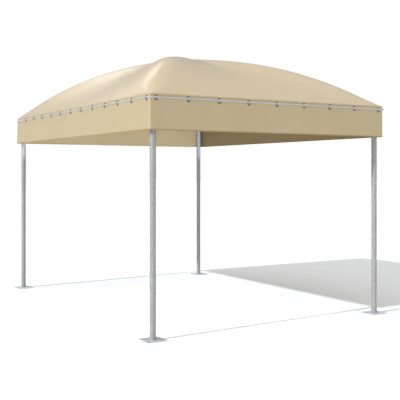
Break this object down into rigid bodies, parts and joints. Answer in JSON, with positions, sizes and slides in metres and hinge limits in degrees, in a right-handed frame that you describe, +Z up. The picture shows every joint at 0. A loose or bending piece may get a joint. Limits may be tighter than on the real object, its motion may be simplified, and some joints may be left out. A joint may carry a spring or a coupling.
{
  "type": "dome-roof gazebo",
  "caption": "Open garden gazebo: a domed tarpaulin roof with a hanging valance, laced to a galvanised steel frame on corner posts with base plates.",
  "frame": {"origin": "middle of the plan, on the ground under the base plates", "axes": "+X along the short sides, +Y along the long sides, +Z up"},
  "size_m": [3.18, 4.36, 3.155],
  "materials": {
    "galvanised_tube": "hot-dip galvanised, matt spangle",
    "galvanised_plate": "hot-dip galvanised, dull",
    "lacing_rod": "plain drawn",
    "tarpaulin": "coated cloth with a slight sheen"
  },
  "bodies": {
    "root": {"base_plate_front_left": "galvanised_plate", "post_front_left": "galvanised_tube", "head_plate_front_left": "galvanised_plate", "arch_shoe_front_left": "galvanised_plate", "dome_arch_front_left": "galvanised_tube", "base_plate_front_right": "galvanised_plate", "post_front_right": "galvanised_tube", "head_plate_front_right": "galvanised_plate", "arch_shoe_front_right": "galvanised_plate", "dome_arch_front_right": "galvanised_tube", "base_plate_back_right": "galvanised_plate", "post_back_right": "galvanised_tube", "head_plate_back_right": "galvanised_plate", "arch_shoe_back_right": "galvanised_plate", "dome_arch_back_right": "galvanised_tube", "base_plate_back_left": "galvanised_plate", "post_back_left": "galvanised_tube", "head_plate_back_left": "galvanised_plate", "arch_shoe_back_left": "galvanised_plate", "dome_arch_back_left": "galvanised_tube", "dome_hub": "galvanised_plate", "eave_beam_front": "galvanised_tube", "lacing_rod_front": "lacing_rod", "roof_panel_front": "tarpaulin", "valance_front": "tarpaulin", "eave_beam_right": "galvanised_tube", "lacing_rod_right": "lacing_rod", "roof_panel_right": "tarpaulin", "valance_right": "tarpaulin", "eave_beam_back": "galvanised_tube", "lacing_rod_back": "lacing_rod", "roof_panel_back": "tarpaulin", "valance_back": "tarpaulin", "eave_beam_left": "galvanised_tube", "lacing_rod_left": "lacing_rod", "roof_panel_left": "tarpaulin", "valance_left": "tarpaulin"}
  },
  "joints": []
}
